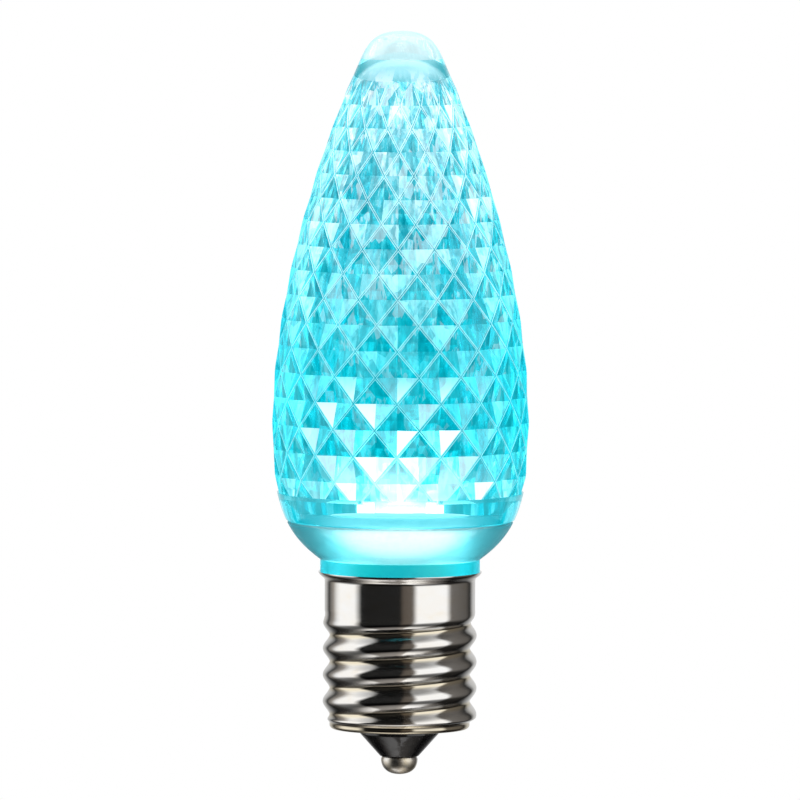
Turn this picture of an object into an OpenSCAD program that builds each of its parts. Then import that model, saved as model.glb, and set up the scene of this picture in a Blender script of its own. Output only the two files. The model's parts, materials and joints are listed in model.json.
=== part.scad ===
// Faceted LED replacement bulb, C9 shape on an intermediate screw cap.
// Millimetres. The lamp stands on its centre contact: the contact's tip is the
// origin and the lamp's axis is +Z. The front of the lamp faces -Y.

/* [Screw cap] */
// Diameter over the thread crests
crest_d = 16.4; // [16.1:0.05:16.6]
// Depth of the thread
thread_depth = 0.73; // [0.6:0.01:0.8]
// Rise of the thread in one turn
thread_pitch = 2.822; // [2.7:0.01:2.95]
// Height of a thread crest on the right side, above the contact's tip
first_crest_h = 6.4; // [6.2:0.05:6.6]
// Fullness of the crests, where 1 is an even wave and less is broader crests
crest_fullness = 0.75; // [0.6:0.05:1]
// Thickness of the pressed sheet
cap_wall = 0.3; // [0.25:0.01:0.35]
// Radius of the cap's lower outside corner
cap_corner_r = 0.4; // [0.35:0.05:0.45]
// Height of the thread's plain start, from the cap's lower edge
thread_start_h = 0.6; // [0.55:0.05:0.7]
// Height over which the thread grows to its full depth
thread_grow_h = 0.6; // [0.5:0.05:0.8]
// Height of the threaded part, from the cap's lower edge up to the collar
thread_h = 12.8; // [12.4:0.1:13.1]
// Height over which the thread runs out into the collar
run_out_h = 2.0; // [1.6:0.1:2.4]
// How far the plain collar stands in from the crests
collar_inset = 0.18; // [0.1:0.01:0.25]
// Height of the plain collar
collar_h = 3.35; // [3.2:0.05:3.8]
// How far the lip flares out from the collar
lip_flare = 0.67; // [0.55:0.01:0.75]
// Height of the flared lip
lip_h = 0.65; // [0.55:0.05:0.75]

/* [Centre contact] */
// Diameter of the contact button
contact_d = 3.9; // [3.6:0.05:4]
// Height of the contact button
contact_h = 1.95; // [1.8:0.05:2.1]
// Diameter of the contact's stem
stem_d = 1.8; // [1.6:0.05:2]
// Length of the stem above the button
stem_h = 4.3; // [4:0.1:4.4]
// Clearance round the live wire in its bore
wire_bore_gap = 0.07; // [0.05:0.01:0.1]
// Depth of the bore that takes the live wire
stem_bore_depth = 2.2; // [1.8:0.1:2.6]

/* [Base insulator] */
// Diameter of the insulator's small end
cone_small_d = 4.1; // [4:0.05:4.3]
// Diameter of the insulator's land in the cap's hole
cone_large_d = 8.4; // [8:0.1:9]
// Height of the conical part
cone_h = 2.4; // [2.2:0.05:2.6]
// Height of the land below the cap
land_h = 0.55; // [0.45:0.05:0.65]
// Gap between the flange and the cap's wall
flange_gap = 0.67; // [0.55:0.01:1]
// Thickness of the flange inside the cap
flange_h = 1.2; // [0.9:0.05:1.4]
// Chamfer on the flange's lower edge
flange_edge = 0.3; // [0.2:0.05:0.5]

/* [Lower cup] */
// How far the cup's neck stands in from the lip
neck_step = 0.19; // [0.05:0.01:0.3]
// Height of the neck's straight part
neck_h = 1.3; // [1.1:0.05:1.5]
// Thickness of the cup's flared wall, measured level
cup_wall = 1.8; // [1.6:0.05:2]
// Height left free under the plug besides the shell wire
plug_gap = 0.2; // [0.15:0.01:0.3]
// Thickness of the plug and of the tube under the light board
tube_wall = 1.22; // [1.1:0.01:1.3]
// Chamfer on the plug's lower edge
plug_chamfer = 0.3; // [0.2:0.05:0.5]
// Height of the seam between cup and lens above the neck's lower edge
seam_h = 5.4; // [5.2:0.1:5.8]
// Height of the ring that locates the lens
spigot_h = 1.5; // [1.2:0.1:1.8]
// Thickness of the ring that locates the lens
spigot_wall = 0.7; // [0.6:0.05:0.75]
// Chamfer on the ring that locates the lens
spigot_edge = 0.2; // [0.15:0.05:0.3]
// Height of the light board's seat above the neck's lower edge
seat_h = 6.3; // [6:0.1:6.6]
// Length of the ribs that guide the driver board, measured inward
rib_reach = 1.05; // [0.8:0.05:1.2]
// Thickness of the ribs that guide the driver board
rib_wall = 0.7; // [0.5:0.05:0.9]

/* [Lens] */
// Greatest diameter of the bulb
belly_d = 27.5; // [27:0.1:28]
// Height of the greatest diameter above the neck's lower edge
belly_h = 15.7; // [15.2:0.1:16.2]
// Height of the shoulder, where the smooth dome starts, above the greatest diameter
shoulder_h = 36.4; // [35.6:0.1:37]
// Diameter at the shoulder
shoulder_d = 11; // [10.6:0.1:11.4]
// Height of the dome above the shoulder
dome_h = 5.5; // [5.2:0.1:5.8]
// Slope of the side at the shoulder, from upright
shoulder_slope = 25; // [22:1:28]
// Slope of the cup where it leaves the neck, from level
flare_slope = 36; // [34:1:40]
// Reach of the curve that leaves the neck
flare_reach = 4.25; // [3.9:0.05:4.6]
// Reach of the curve below the greatest diameter
belly_reach_down = 9; // [8.4:0.1:9.6]
// Reach of the curve above the greatest diameter
belly_reach_up = 15; // [14:0.1:16]
// Reach of the curve below the shoulder
shoulder_reach_down = 5.5; // [5:0.1:6]
// Reach of the curve above the shoulder
shoulder_reach_up = 3.75; // [3.5:0.05:4]
// Reach of the curve out from the tip
tip_reach = 3.75; // [3.5:0.05:4]
// Thickness of the lens wall to the tops of the ridges, measured level
lens_wall = 1.8; // [1.7:0.05:2]
// Thickness of the lens at its tip
roof_wall = 3; // [2.6:0.1:3.4]

/* [Diamond facets] */
// Number of diamonds round the lens
diamonds = 18; // [16:1:20]
// Tilt of each diamond's four faces into the lens
facet_tilt = 24; // [20:1:26]
// Turn of the pattern about the axis
pattern_turn = -91.6; // [-100:0.1:-80]
// Height of the smooth skirt below the facets, above the seam
skirt_h = 3.05; // [2.8:0.05:3.2]
// Height from the skirt's edge to the centres of the lowest diamonds
first_row_h = 1.8; // [1.6:0.05:2]
// Distance along the side from the lowest row to the next
row_step = 2.85; // [2.8:0.01:2.9]
// Shortening of that distance at each further row
row_step_less = 0.02; // [0.015:0.001:0.025]

/* [Light board and LEDs] */
// Diameter of the round board that carries the LEDs
board_d = 16; // [15.6:0.1:16.6]
// Thickness of the round board
board_h = 1.2; // [1:0.1:1.6]
// Length of an LED
led_l = 3.5; // [3.2:0.1:3.6]
// Width of an LED
led_w = 2.8; // [2.6:0.1:2.8]
// Height of an LED
led_h = 1.9; // [1.4:0.1:2]
// Width of the square post that carries the LEDs on its sides and top
post_w = 5.4; // [4.8:0.1:5.8]
// Height of the post above the LEDs on its sides
post_rim = 0.4; // [0.3:0.05:0.6]
// Gap between the pins' tips and the LEDs over them
pin_led_gap = 0.15; // [0.1:0.01:0.3]
// Diameter of an LED's round window
window_d = 2.3; // [2:0.1:2.4]
// Depth of an LED's round window
window_depth = 0.15; // [0.1:0.05:0.3]

/* [Driver board] */
// Gap between the upright board's edges and the tube
driver_side_gap = 0.18; // [0.12:0.01:0.3]
// Thickness of the upright board
driver_t = 1; // [0.8:0.1:1.1]
// Gap between the insulator's flange and the upright board's foot
driver_foot_gap = 2.2; // [1.8:0.1:2.8]
// Diameter of the pins that join the two boards
pin_d = 0.64; // [0.6:0.02:0.7]
// Length of the pins along the driver board's face
pin_h = 4.6; // [4.2:0.1:5]
// Height of the pins above the light board
pin_proud = 0.35; // [0.3:0.05:0.6]
// Distance of each pin from the middle
pin_x = 4.2; // [4.1:0.05:4.3]
// Diameter of the bare wires
wire_d = 0.5; // [0.45:0.05:0.55]
// Diameter of the live wire
live_d = 0.7; // [0.65:0.05:0.75]
// Height of the live wire's bend below the upright board
live_bend_drop = 0.9; // [0.7:0.1:1.1]
// Height over which the live wire bends from the axis to the board's face
live_bend_h = 0.4; // [0.3:0.05:0.5]
// Length of the live wire on the board's face
live_lap = 1.6; // [1.4:0.1:1.9]
// Height of the shell wire's end above the plug's lower edge
shell_wire_rise = 2; // [1.6:0.1:2.4]

/* [Driver parts] */
// Gap between parts that follow one another along the board
part_gap = 0.6; // [0.5:0.05:0.7]
// Distance from the light board down to the chip resistors
chip_drop = 0.8; // [0.6:0.1:1.2]
// Distance of each chip resistor from the middle
chip_x = 1.6; // [1.4:0.05:1.7]
// Gap between the light board and the smoothing capacitor
capacitor_drop = 0.9; // [0.7:0.1:1.1]
// Distance of the smoothing capacitor from the middle
capacitor_x = 1.3; // [1.1:0.05:1.5]
// Thickness of the packages' legs
leg_t = 0.2; // [0.15:0.01:0.25]
// Length of the packages' legs past the body
leg_out = 0.8; // [0.6:0.05:0.9]
// Width of the rectifier's legs
bridge_leg_w = 0.6; // [0.5:0.05:0.7]
// Distance of the rectifier's legs from its middle
bridge_leg_x = 1.27; // [1.1:0.01:1.4]
// Width of the regulator's legs
regulator_leg_w = 0.5; // [0.4:0.05:0.6]
// Distance of the regulator's outer legs from its middle
regulator_leg_x = 1.5; // [1.3:0.05:1.6]
// Distance of the capacitor's leads from its middle
capacitor_lead_x = 1; // [0.8:0.05:1.1]
// Length of the capacitor's leads below its foot
capacitor_lead_h = 0.5; // [0.4:0.05:0.55]
// Chamfer on the capacitor's ends
can_edge = 0.3; // [0.2:0.05:0.4]
// Length of the fusible resistor's leads past its body
fuse_lead = 0.8; // [0.7:0.05:0.9]
// Length of the fusible resistor's end caps
fuse_cap_l = 1.1; // [0.9:0.1:1.3]
// Diameter of the fusible resistor between its end caps
fuse_waist_d = 2.24; // [2.1:0.02:2.3]
// Diameter of the smoothing capacitor
cap_d = 4; // [3.8:0.1:4.4]
// Length of the smoothing capacitor
cap_l = 7; // [6.6:0.1:8.2]
// Length of the bridge rectifier
bridge_l = 4.7; // [4.5:0.1:5]
// Width of the bridge rectifier
bridge_w = 4; // [3.8:0.1:4.2]
// Height of the bridge rectifier above its board
bridge_h = 2.5; // [2.3:0.1:2.6]
// Length of the current regulator
regulator_l = 4.5; // [4.3:0.1:4.7]
// Width of the current regulator
regulator_w = 2.5; // [2.3:0.1:2.6]
// Height of the current regulator above its board
regulator_h = 1.5; // [1.4:0.1:1.6]
// Length of a chip resistor
chip_l = 3.2; // [3:0.1:3.4]
// Width of a chip resistor
chip_w = 1.6; // [1.5:0.1:1.7]
// Height of a chip resistor
chip_h = 0.6; // [0.5:0.05:0.7]
// Diameter of the fusible resistor
fuse_d = 2.6; // [2.4:0.1:2.8]
// Length of the fusible resistor
fuse_l = 6; // [5.6:0.1:6.2]

/* [Clearances] */
// Clearance round pieces that slide into one another
slide_gap = 0.05; // [0.04:0.01:0.06]
// Gap between the boards' parts and the face they stand over
stand_gap = 0.12; // [0.1:0.01:0.15]

/* [Hidden] */

// Colours
lens_colour = "turquoise";
nickel_colour = "silver";
insulator_colour = "#1c1c1e";
board_colour = "whitesmoke";
driver_colour = "#2e7d4f";
led_colour = "lightcyan";
package_colour = "#26262a";
sleeve_colour = "#27406b";
tin_colour = "#b9bcc0";
ceramic_colour = "#c9b48a";

// Facets round true circles
$fn = 96;
small_fn = 32;
ball_fn = 24;

// Heights of the stack, from the contact's tip up
cap_bottom = contact_h + cone_h + land_h;
thread_bottom = cap_bottom + thread_start_h;
collar_bottom = cap_bottom + thread_h;
lip_bottom = collar_bottom + collar_h;
lip_top = lip_bottom + lip_h;
neck_top = lip_top + neck_h;
seam = lip_top + seam_h;
seat = lip_top + seat_h;
belly = lip_top + belly_h;
shoulder = belly + shoulder_h;
tip = shoulder + dome_h;
facet_bottom = seam + skirt_h;
led_base = seat + board_h;
led_low = led_base + pin_proud + pin_led_gap;
post_top = led_low + led_l + post_rim;
flange_bottom = cap_bottom + cap_wall;
flange_top = flange_bottom + flange_h;
driver_foot = flange_top + driver_foot_gap;
plug_bottom = collar_bottom + plug_gap + wire_d;

// Radii
crest_r = crest_d / 2;
root_r = crest_r - thread_depth;
collar_r = crest_r - collar_inset;
lip_r = collar_r + lip_flare;
neck_r = lip_r - neck_step;
flange_r = root_r - cap_wall - flange_gap;
belly_r = belly_d / 2;
shoulder_r = shoulder_d / 2;
plug_r = collar_r - cap_wall - slide_gap;
tube_bore_r = plug_r - tube_wall;
driver_w = 2 * sqrt(pow(tube_bore_r - driver_side_gap, 2) - pow(driver_t / 2, 2));

// How far one sheet or solid runs into the next of the same piece, and the
// amount by which it is thinner there
lap_h = 0.25;
lap_inset = 0.06;

// How far a cutting shape passes the face that it cuts
over = 1;

// Straight runs in each curve of the bulb's outline
curve_steps = 14;

function bezier(a, b, c, d, t) =
    pow(1 - t, 3) * a + 3 * t * pow(1 - t, 2) * b + 3 * t * t * (1 - t) * c + t * t * t * d;

function curve(a, b, c, d, steps) = [for (i = [0 : steps]) bezier(a, b, c, d, i / steps)];

function smooth_step(t) = let (u = min(1, max(0, t))) u * u * (3 - 2 * u);

// The bulb's outline, as [radius, height] from the neck to the tip
cup_curve = curve(
    [neck_r, neck_top],
    [neck_r + flare_reach * cos(flare_slope), neck_top + flare_reach * sin(flare_slope)],
    [belly_r, belly - belly_reach_down],
    [belly_r, belly],
    curve_steps);
body_curve = curve(
    [belly_r, belly],
    [belly_r, belly + belly_reach_up],
    [shoulder_r + shoulder_reach_down * sin(shoulder_slope),
     shoulder - shoulder_reach_down * cos(shoulder_slope)],
    [shoulder_r, shoulder],
    2 * curve_steps);
dome_curve = curve(
    [shoulder_r, shoulder],
    [shoulder_r - shoulder_reach_up * sin(shoulder_slope),
     shoulder + shoulder_reach_up * cos(shoulder_slope)],
    [tip_reach, tip],
    [0, tip],
    curve_steps);
side_outline = concat(cup_curve, [for (i = [1 : len(body_curve) - 1]) body_curve[i]]);

// Radius of the outline at a height, and the two tables that turn a height
// into a distance along the side and back
radius_by_height = [for (p = side_outline) [p[1], p[0]]];
function side_radius(z) = lookup(z, radius_by_height);
function side_length(n) = n == 0 ? 0 : side_length(n - 1) + norm(side_outline[n] - side_outline[n - 1]);
side_lengths = [for (n = [0 : len(side_outline) - 1]) side_length(n)];
length_by_height = [for (n = [0 : len(side_outline) - 1]) [side_outline[n][1], side_lengths[n]]];
height_by_length = [for (n = [0 : len(side_outline) - 1]) [side_lengths[n], side_outline[n][1]]];

// Rows of diamonds: row 0 holds the lowest centres, row -1 closes their lower
// points under the skirt, and the last row lies on the shoulder
first_row_length = lookup(facet_bottom + first_row_h, length_by_height);
function row_length(k) = first_row_length + k * row_step - row_step_less * k * (k - 1) / 2;
shoulder_length = side_lengths[len(side_lengths) - 1];
most_rows = 24;
row_heights = [
    for (k = [-1 : most_rows])
        if (row_length(k) < shoulder_length - row_step / 2) lookup(row_length(k), height_by_length)
];
row_count = len(row_heights);
columns = 2 * diamonds;
column_angle = 360 / columns;

// Depth of a diamond whose centre is at a height, from the tilt of its faces
function diamond_depth(z) =
    let (half_w = side_radius(z) * sin(column_angle), half_h = row_step)
    tan(facet_tilt) * half_w * half_h / norm([half_w, half_h]);

function ring_point(r, a, z) = [r * cos(a), r * sin(a), z];

// Radius of the thread at a height and an angle: crests climb to the right of
// the front, grow from the plain start and run out into the collar
function thread_wave(z, a) =
    let (turns = (z - first_crest_h) / thread_pitch - a / 360)
    pow(max(0, 0.5 + 0.5 * cos(360 * turns)), crest_fullness);
function thread_radius(z, a) =
    let (depth = thread_depth * smooth_step((z - thread_bottom) / thread_grow_h),
         threaded = root_r + depth * thread_wave(z, a),
         run_out = smooth_step((z - collar_bottom + run_out_h) / run_out_h))
    threaded + (collar_r - threaded) * run_out;

thread_columns = 40;
thread_rows = 40;

// The threaded wall as one closed tube. Its first and last rings are thinner
// and lie inside the plain walls below and above.
module threaded_wall() {
    row_z = concat(
        [thread_bottom - lap_h],
        [for (i = [0 : thread_rows]) thread_bottom + (collar_bottom - thread_bottom) * i / thread_rows],
        [collar_bottom + lap_h]);
    last = len(row_z) - 1;
    function thinner(i) = i <= 1 || i >= last - 1 ? lap_inset : 0;
    function outer_r(i, a) = thread_radius(row_z[i], a) - thinner(i) / 2;
    function inner_r(i, a) = thread_radius(row_z[i], a) - cap_wall + thinner(i);
    angles = [for (j = [0 : thread_columns - 1]) 360 * j / thread_columns];
    outer = [for (i = [0 : last]) for (a = angles) ring_point(outer_r(i, a), a, row_z[i])];
    inner = [for (i = [0 : last]) for (a = angles) ring_point(inner_r(i, a), a, row_z[i])];
    shift = len(outer);
    function at(i, j) = i * thread_columns + j % thread_columns;
    polyhedron(
        points = concat(outer, inner),
        faces = concat(
            [for (i = [0 : last - 1]) for (j = [0 : thread_columns - 1])
                [at(i, j), at(i + 1, j), at(i + 1, j + 1)]],
            [for (i = [0 : last - 1]) for (j = [0 : thread_columns - 1])
                [at(i, j), at(i + 1, j + 1), at(i, j + 1)]],
            [for (i = [0 : last - 1]) for (j = [0 : thread_columns - 1])
                [shift + at(i, j), shift + at(i + 1, j + 1), shift + at(i + 1, j)]],
            [for (i = [0 : last - 1]) for (j = [0 : thread_columns - 1])
                [shift + at(i, j), shift + at(i, j + 1), shift + at(i + 1, j + 1)]],
            [for (j = [0 : thread_columns - 1])
                [at(0, j), at(0, j + 1), shift + at(0, j + 1), shift + at(0, j)]],
            [for (j = [0 : thread_columns - 1])
                [at(last, j + 1), at(last, j), shift + at(last, j), shift + at(last, j + 1)]]));
}

// Bottom of the cap: a flat ring with a hole for the insulator and a round corner
module cap_bottom_ring() {
    corner_steps = 5;
    corner_z = cap_bottom + cap_corner_r;
    function corner(r) = [
        for (i = [0 : corner_steps])
            let (a = -90 + 90 * i / corner_steps)
            [root_r - cap_corner_r + r * cos(a), corner_z + r * sin(a)]
    ];
    inside = corner(cap_corner_r - cap_wall);
    rotate_extrude()
        polygon(concat(
            [[cone_large_d / 2 + slide_gap, cap_bottom]],
            corner(cap_corner_r),
            [[root_r, thread_bottom], [root_r - cap_wall, thread_bottom]],
            [for (i = [corner_steps : -1 : 0]) inside[i]],
            [[cone_large_d / 2 + slide_gap, cap_bottom + cap_wall]]));
}

// Plain collar with its flared lip
module cap_collar() {
    rotate_extrude()
        polygon([
            [collar_r - cap_wall, collar_bottom],
            [collar_r, collar_bottom],
            [collar_r, lip_bottom],
            [lip_r, lip_top],
            [lip_r - cap_wall, lip_top],
            [collar_r - cap_wall, lip_bottom]
        ]);
}

module screw_shell() {
    color(nickel_colour)
        union() {
            cap_bottom_ring();
            threaded_wall();
            cap_collar();
        }
}

module centre_contact() {
    button = curve(
        [0, 0], [contact_d / 3, 0], [contact_d / 2, contact_h / 3], [contact_d / 2, contact_h], 8);
    color(nickel_colour)
        difference() {
            rotate_extrude()
                polygon(concat(
                    button,
                    [[stem_d / 2, contact_h], [stem_d / 2, contact_h + stem_h], [0, contact_h + stem_h]]));
            translate([0, 0, contact_h + stem_h - stem_bore_depth])
                cylinder(d = live_d + 2 * wire_bore_gap, h = stem_bore_depth + over, $fn = small_fn);
        }
}

// Moulded insulator: cone, land in the cap's hole, flange on the cap's floor
module base_insulator() {
    color(insulator_colour)
        difference() {
            rotate_extrude()
                polygon([
                    [0, contact_h],
                    [cone_small_d / 2, contact_h],
                    [cone_large_d / 2, contact_h + cone_h],
                    [cone_large_d / 2, flange_bottom],
                    [flange_r - flange_edge, flange_bottom],
                    [flange_r, flange_bottom + flange_edge],
                    [flange_r, flange_top],
                    [0, flange_top]
                ]);
            cylinder(d = stem_d + 2 * slide_gap, h = flange_top + over, $fn = small_fn);
        }
}

// The shell wire leaves the driver board beside the smoothing capacitor
shell_wire_r = collar_r - cap_wall - wire_d / 2 - slide_gap / 2;
shell_wire_z = plug_bottom - wire_d / 2 - slide_gap;
shell_wire_x = capacitor_x + cap_d / 2 + part_gap + wire_d / 2;

// Groove in the plug, open below, for the wire that is trapped against the cap
module wire_groove() {
    groove_w = wire_d + 4 * slide_gap;
    groove_floor = shell_wire_r - wire_d / 2 - slide_gap;
    rotate(-asin(shell_wire_x / shell_wire_r))
        translate([-groove_w / 2, groove_floor, plug_bottom - over])
            cube([groove_w, plug_r, over + shell_wire_rise + wire_d]);
}

// Pair of ribs at one side of the tube that hold the driver board's edge
module guide_ribs() {
    rib_root = tube_bore_r + rib_wall / 2;
    rib_l = rib_reach + rib_wall / 2;
    for (side = [-1, 1])
        translate([rib_root - rib_l, side * (driver_t + rib_wall + 2 * slide_gap) / 2 - rib_wall / 2,
                   plug_bottom])
            cube([rib_l, rib_wall, seat - plug_bottom]);
}

// Moulded cup: plug in the cap, neck on the cap's lip, flared wall up to the
// seam, ring that locates the lens, and the tube that carries the light board
module lower_cup() {
    spigot_r = seam_bore_r - slide_gap;
    outer_wall = [for (p = cup_curve) if (p[1] < seam) p];
    inner_wall = [
        for (i = [len(cup_curve) - 1 : -1 : 0])
            let (p = cup_curve[i])
            if (p[1] < seam && p[0] - cup_wall > plug_r && p[0] - cup_wall < spigot_r - spigot_wall)
                [p[0] - cup_wall, p[1]]
    ];
    groove_z = inner_wall[len(inner_wall) - 1][1] - spigot_edge;
    color(lens_colour)
        union() {
            difference() {
                rotate_extrude()
                    polygon(concat(
                        [
                            [tube_bore_r, plug_bottom],
                            [plug_r - plug_chamfer, plug_bottom],
                            [plug_r, plug_bottom + plug_chamfer],
                            [plug_r, lip_bottom],
                            [plug_r + lip_r - collar_r, lip_top],
                            [neck_r, lip_top]
                        ],
                        outer_wall,
                        [
                            [side_radius(seam), seam],
                            [spigot_r, seam],
                            [spigot_r, seam + spigot_h - spigot_edge],
                            [spigot_r - spigot_edge, seam + spigot_h],
                            [spigot_r - spigot_wall, seam + spigot_h],
                            [spigot_r - spigot_wall, seam]
                        ],
                        inner_wall,
                        [[plug_r, groove_z], [plug_r, seat], [tube_bore_r, seat]]));
                wire_groove();
            }
            guide_ribs();
            mirror([1, 0, 0]) guide_ribs();
        }
}

// Bore at the foot of the lens that takes the cup's ring
seam_bore_r = side_radius(seam) - cup_wall / 2 - slide_gap;

// The faceted side as one solid. Ridges cross on the outline, and each diamond
// between them is cut in to its centre by four flat faces.
module faceted_side() {
    rings = concat(row_heights, [shoulder]);
    last = len(rings) - 1;
    function is_centre(i, j) = (i + j) % 2 == 1;
    function ring_r(i, j) =
        i == last ? side_radius(rings[i]) - lap_inset :
        side_radius(rings[i]) - (is_centre(i, j) ? diamond_depth(rings[i]) : 0);
    function at(i, j) = i * columns + j % columns;
    points = [
        for (i = [0 : last]) for (j = [0 : columns - 1])
            ring_point(ring_r(i, j), pattern_turn + j * column_angle, rings[i])
    ];
    faces = concat(
        [for (i = [0 : last - 1]) for (j = [0 : columns - 1])
            is_centre(i, j) ? [at(i, j), at(i + 1, j), at(i, j + 1)]
                            : [at(i, j), at(i + 1, j), at(i + 1, j + 1)]],
        [for (i = [0 : last - 1]) for (j = [0 : columns - 1])
            is_centre(i, j) ? [at(i + 1, j), at(i + 1, j + 1), at(i, j + 1)]
                            : [at(i, j), at(i + 1, j + 1), at(i, j + 1)]],
        [[for (j = [0 : columns - 1]) j]],
        [[for (j = [columns - 1 : -1 : 0]) at(last, j)]]);
    polyhedron(points = points, faces = faces);
}

// Everything that the lens is made round: the hollow follows the side at the
// wall's thickness and ends in a low dome under the thick roof
module lens_hollow() {
    hollow_top = tip - roof_wall;
    inner_side = [
        for (p = side_outline)
            if (p[1] > belly || p[1] > seam && p[0] - lens_wall > seam_bore_r)
                [p[0] - lens_wall, p[1]]
    ];
    start = inner_side[0];
    end = inner_side[len(inner_side) - 1];
    dome = curve(
        end,
        end + [-(hollow_top - end[1]) * tan(shoulder_slope) / 2, (hollow_top - end[1]) / 2],
        [end[0] / 2, hollow_top],
        [0, hollow_top],
        8);
    rotate_extrude()
        polygon(concat(
            [[0, seam - over], [seam_bore_r, seam - over], [seam_bore_r, start[1]]],
            inner_side,
            [for (i = [1 : len(dome) - 1]) dome[i]]));
}

module faceted_lens() {
    skirt = [for (p = side_outline) if (p[1] > seam && p[1] < facet_bottom) p];
    color(lens_colour, 0.7)
        difference() {
            union() {
                intersection() {
                    faceted_side();
                    translate([0, 0, facet_bottom - lap_h])
                        cylinder(r = 2 * belly_r, h = tip);
                }
                rotate_extrude()
                    polygon(concat(
                        [[0, seam], [side_radius(seam), seam]],
                        skirt,
                        [[side_radius(facet_bottom), facet_bottom], [0, facet_bottom]]));
                rotate_extrude()
                    polygon(concat(
                        [[0, shoulder - lap_h], [side_radius(shoulder - lap_h), shoulder - lap_h]],
                        dome_curve));
            }
            lens_hollow();
        }
}

// Round board on the cup's tube, with holes for the pins from the driver board
pin_y = -(driver_t + pin_d) / 2;
module led_board() {
    color(board_colour)
        translate([0, 0, seat])
            difference() {
                cylinder(d = board_d, h = board_h);
                for (side = [-1, 1])
                    translate([side * pin_x, pin_y, -over])
                        cylinder(d = pin_d + 2 * slide_gap, h = board_h + 2 * over, $fn = small_fn);
            }
}

// Square post on the round board
module led_post() {
    color(board_colour)
        translate([-post_w / 2, -post_w / 2, led_base])
            cube([post_w, post_w, post_top - led_base]);
}

// One LED: moulded package with a round window over the chip
module led() {
    color(led_colour)
        difference() {
            translate([-led_w / 2, -led_l / 2, 0])
                cube([led_w, led_l, led_h]);
            translate([0, 0, led_h - window_depth])
                cylinder(d = window_d, h = window_depth + over, $fn = small_fn);
        }
}

// LED on one side of the post, turned from the front
module side_led(turn) {
    rotate(turn)
        translate([0, -post_w / 2, led_low + led_l / 2])
            rotate([90, 0, 0])
                led();
}

module top_led() {
    translate([0, 0, post_top])
        led();
}

module driver_board() {
    color(driver_colour)
        translate([-driver_w / 2, -driver_t / 2, driver_foot])
            cube([driver_w, driver_t, seat - driver_foot]);
}

// Pin against the driver board's face that passes up through the light board
module link_pin(side) {
    color(tin_colour)
        translate([side * pin_x, pin_y, seat - pin_h])
            cylinder(d = pin_d, h = pin_h + board_h + pin_proud, $fn = small_fn);
}

// The driver board's two faces, and the places of the parts on them: the upper
// parts hang from the light board and the lower ones stand on the board's foot
front = -driver_t / 2;
back = driver_t / 2;
chip_z = seat - chip_drop - chip_l / 2;
regulator_z = chip_z - chip_l / 2 - part_gap - leg_out - regulator_w / 2;
bridge_z = driver_foot + live_lap + part_gap + leg_out + bridge_w / 2;
capacitor_z = seat - capacitor_drop - cap_l;
fuse_x = capacitor_x - (cap_d + fuse_d) / 2 - part_gap;
fuse_z = driver_foot + part_gap + wire_d / 2 + fuse_lead;

// Moulded package standing over the board's front face on flat legs
module package(size, centre_z, leg_xs, leg_w) {
    leg_l = size[2] + 2 * leg_out;
    translate([-size[0] / 2, front - size[1], centre_z - size[2] / 2])
        cube([size[0], size[1] - stand_gap, size[2]]);
    for (x = leg_xs)
        translate([x - leg_w / 2, front - leg_t, centre_z - leg_l / 2])
            cube([leg_w, leg_t, leg_l]);
}

module bridge_rectifier() {
    color(package_colour)
        package([bridge_l, bridge_h, bridge_w], bridge_z, [-bridge_leg_x, bridge_leg_x],
                bridge_leg_w);
}

module current_regulator() {
    color(package_colour)
        package([regulator_l, regulator_h, regulator_w], regulator_z,
                [-regulator_leg_x, 0, regulator_leg_x], regulator_leg_w);
}

module chip_resistor(side) {
    color(package_colour)
        translate([side * chip_x - chip_w / 2, front - chip_h, chip_z - chip_l / 2])
            cube([chip_w, chip_h, chip_l]);
}

// Round wire along straight runs with ball corners
module wire(points, d) {
    for (i = [0 : len(points) - 2]) {
        run = points[i + 1] - points[i];
        translate(points[i])
            rotate([0, acos(run[2] / norm(run)), atan2(run[1], run[0])])
                cylinder(d = d, h = norm(run), $fn = small_fn);
    }
    for (i = [1 : len(points) - 2])
        translate(points[i])
            sphere(d = d, $fn = ball_fn);
}

// Sleeved can beside the board, with its two leads bent into the board
module smoothing_capacitor() {
    can_y = back + stand_gap + cap_d / 2;
    color(sleeve_colour)
        translate([capacitor_x, can_y, capacitor_z])
            rotate_extrude()
                polygon([
                    [0, 0],
                    [cap_d / 2 - can_edge, 0],
                    [cap_d / 2, can_edge],
                    [cap_d / 2, cap_l - can_edge],
                    [cap_d / 2 - can_edge, cap_l],
                    [0, cap_l]
                ]);
    color(tin_colour)
        for (x = [capacitor_x - capacitor_lead_x, capacitor_x + capacitor_lead_x])
            wire([
                [x, can_y, capacitor_z + can_edge],
                [x, can_y, capacitor_z - capacitor_lead_h],
                [x, back, capacitor_z - capacitor_lead_h]
            ], wire_d);
}

// Round resistor beside the board, with both leads bent into the board
module fusible_resistor() {
    body_y = back + stand_gap + fuse_d / 2;
    color(ceramic_colour)
        translate([fuse_x, body_y, fuse_z])
            union() {
                cylinder(d = fuse_waist_d, h = fuse_l, $fn = small_fn);
                cylinder(d = fuse_d, h = fuse_cap_l, $fn = small_fn);
                translate([0, 0, fuse_l - fuse_cap_l])
                    cylinder(d = fuse_d, h = fuse_cap_l, $fn = small_fn);
            }
    color(tin_colour)
        for (run = [[fuse_z + fuse_lead, fuse_z - fuse_lead],
                    [fuse_z + fuse_l - fuse_lead, fuse_z + fuse_l + fuse_lead]])
            wire([[fuse_x, body_y, run[0]], [fuse_x, body_y, run[1]], [fuse_x, back, run[1]]],
                 wire_d);
}

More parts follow.
